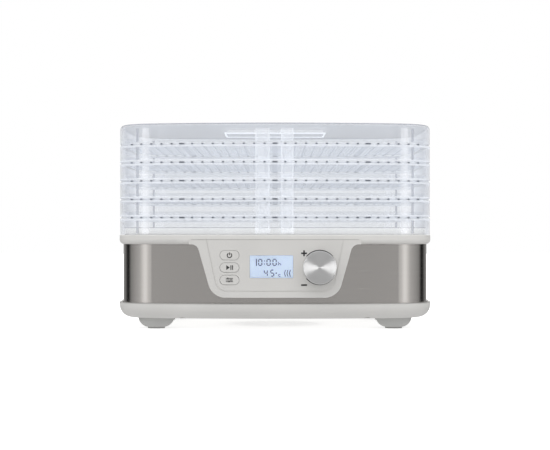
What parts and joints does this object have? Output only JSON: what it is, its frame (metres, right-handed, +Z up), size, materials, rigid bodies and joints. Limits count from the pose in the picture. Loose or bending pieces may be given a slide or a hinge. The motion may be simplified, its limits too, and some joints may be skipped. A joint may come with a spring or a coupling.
{
  "type": "food dehydrator",
  "caption": "Rounded box-shaped food dehydrator: a low steel-wrapped base with a control panel and knob, a stack of clear lift-off grid trays and a clear vented lid.",
  "frame": {"origin": "on the ground under the middle of the bounding box", "axes": "+X to the right of someone facing the control panel, +Y towards the back, +Z up"},
  "size_m": [0.332, 0.272, 0.2134],
  "materials": {
    "cream_plastic": "satin",
    "grey_plastic": "satin",
    "brushed_steel": "vertically brushed satin",
    "inner_plastic": "moulded",
    "clear_plastic": "clear",
    "grid_plastic": "clear, finely ribbed",
    "window_plastic": "clear",
    "outlet_plastic": "satin",
    "display": "backlit",
    "board": "lacquered",
    "component_plastic": "moulded",
    "plated_steel": "plated",
    "turned_aluminium": "spun face",
    "rubber": "matt",
    "heating_wire": "oxidised",
    "mica": "matt"
  },
  "bodies": {
    "base": {"base_housing": "cream_plastic", "intake_grille": "cream_plastic", "steel_band": "brushed_steel", "body_frame": "inner_plastic", "top_deck": "cream_plastic", "outlet_grille": "outlet_plastic", "control_fascia": "cream_plastic", "display_window": "window_plastic", "lcd_module": "display", "control_board": "board", "board_screws": "plated_steel", "tact_switches": "component_plastic", "rotary_encoder": "component_plastic", "fan_shroud": "inner_plastic", "motor_bracket": "plated_steel", "fan_motor": "plated_steel", "motor_screws": "plated_steel", "heater_frame": "mica", "heater_coil": "heating_wire", "thermostat": "plated_steel", "thermal_fuse": "component_plastic", "temperature_sensor": "plated_steel", "power_board": "board", "power_board_parts": "component_plastic", "power_board_screws": "plated_steel", "housing_screws": "plated_steel", "cord_gland": "rubber", "foot_front_left": "grey_plastic", "foot_front_right": "grey_plastic", "foot_rear_left": "grey_plastic", "foot_rear_right": "grey_plastic", "foot_pad_front_left": "rubber", "foot_pad_front_right": "rubber", "foot_pad_rear_left": "rubber", "foot_pad_rear_right": "rubber"},
    "knob": {"knob_cap": "turned_aluminium", "knob_core": "inner_plastic", "encoder_shaft": "plated_steel"},
    "power_button": {"power_button": "cream_plastic"},
    "play_pause_button": {"play_pause_button": "cream_plastic"},
    "set_button": {"set_button": "cream_plastic"},
    "fan": {"fan_impeller": "component_plastic", "motor_shaft": "plated_steel"},
    "tray_1": {"tray_1": "clear_plastic", "tray_1_grid": "grid_plastic"},
    "tray_2": {"tray_2": "clear_plastic", "tray_2_grid": "grid_plastic"},
    "tray_3": {"tray_3": "clear_plastic", "tray_3_grid": "grid_plastic"},
    "tray_4": {"tray_4": "clear_plastic", "tray_4_grid": "grid_plastic"},
    "tray_5": {"tray_5": "clear_plastic", "tray_5_grid": "grid_plastic"},
    "lid": {"lid": "clear_plastic"}
  },
  "joints": [
    {"name": "knob_turn", "type": "hinge", "parent": "base", "child": "knob", "pos_m": [0.0457, -0.1255, 0.0647], "axis": [0, -1, 0], "continuous": true},
    {"name": "power_button_press", "type": "slide", "parent": "base", "child": "power_button", "axis": [0, 1, 0], "range_m": [0, 0.0008], "stiffness_N_per_m": 600},
    {"name": "play_pause_button_press", "type": "slide", "parent": "base", "child": "play_pause_button", "axis": [0, 1, 0], "range_m": [0, 0.0008], "stiffness_N_per_m": 600},
    {"name": "set_button_press", "type": "slide", "parent": "base", "child": "set_button", "axis": [0, 1, 0], "range_m": [0, 0.0008], "stiffness_N_per_m": 600},
    {"name": "fan_spin", "type": "hinge", "parent": "base", "child": "fan", "pos_m": [0, 0, 0.071], "axis": [0, 0, 1], "continuous": true},
    {"name": "tray_1_lift", "type": "slide", "parent": "base", "child": "tray_1", "axis": [0, 0, 1], "range_m": [0, 0.05]},
    {"name": "tray_2_lift", "type": "slide", "parent": "tray_1", "child": "tray_2", "axis": [0, 0, 1], "range_m": [0, 0.05]},
    {"name": "tray_3_lift", "type": "slide", "parent": "tray_2", "child": "tray_3", "axis": [0, 0, 1], "range_m": [0, 0.05]},
    {"name": "tray_4_lift", "type": "slide", "parent": "tray_3", "child": "tray_4", "axis": [0, 0, 1], "range_m": [0, 0.05]},
    {"name": "tray_5_lift", "type": "slide", "parent": "tray_4", "child": "tray_5", "axis": [0, 0, 1], "range_m": [0, 0.05]},
    {"name": "lid_lift", "type": "slide", "parent": "tray_5", "child": "lid", "axis": [0, 0, 1], "range_m": [0, 0.06]}
  ]
}
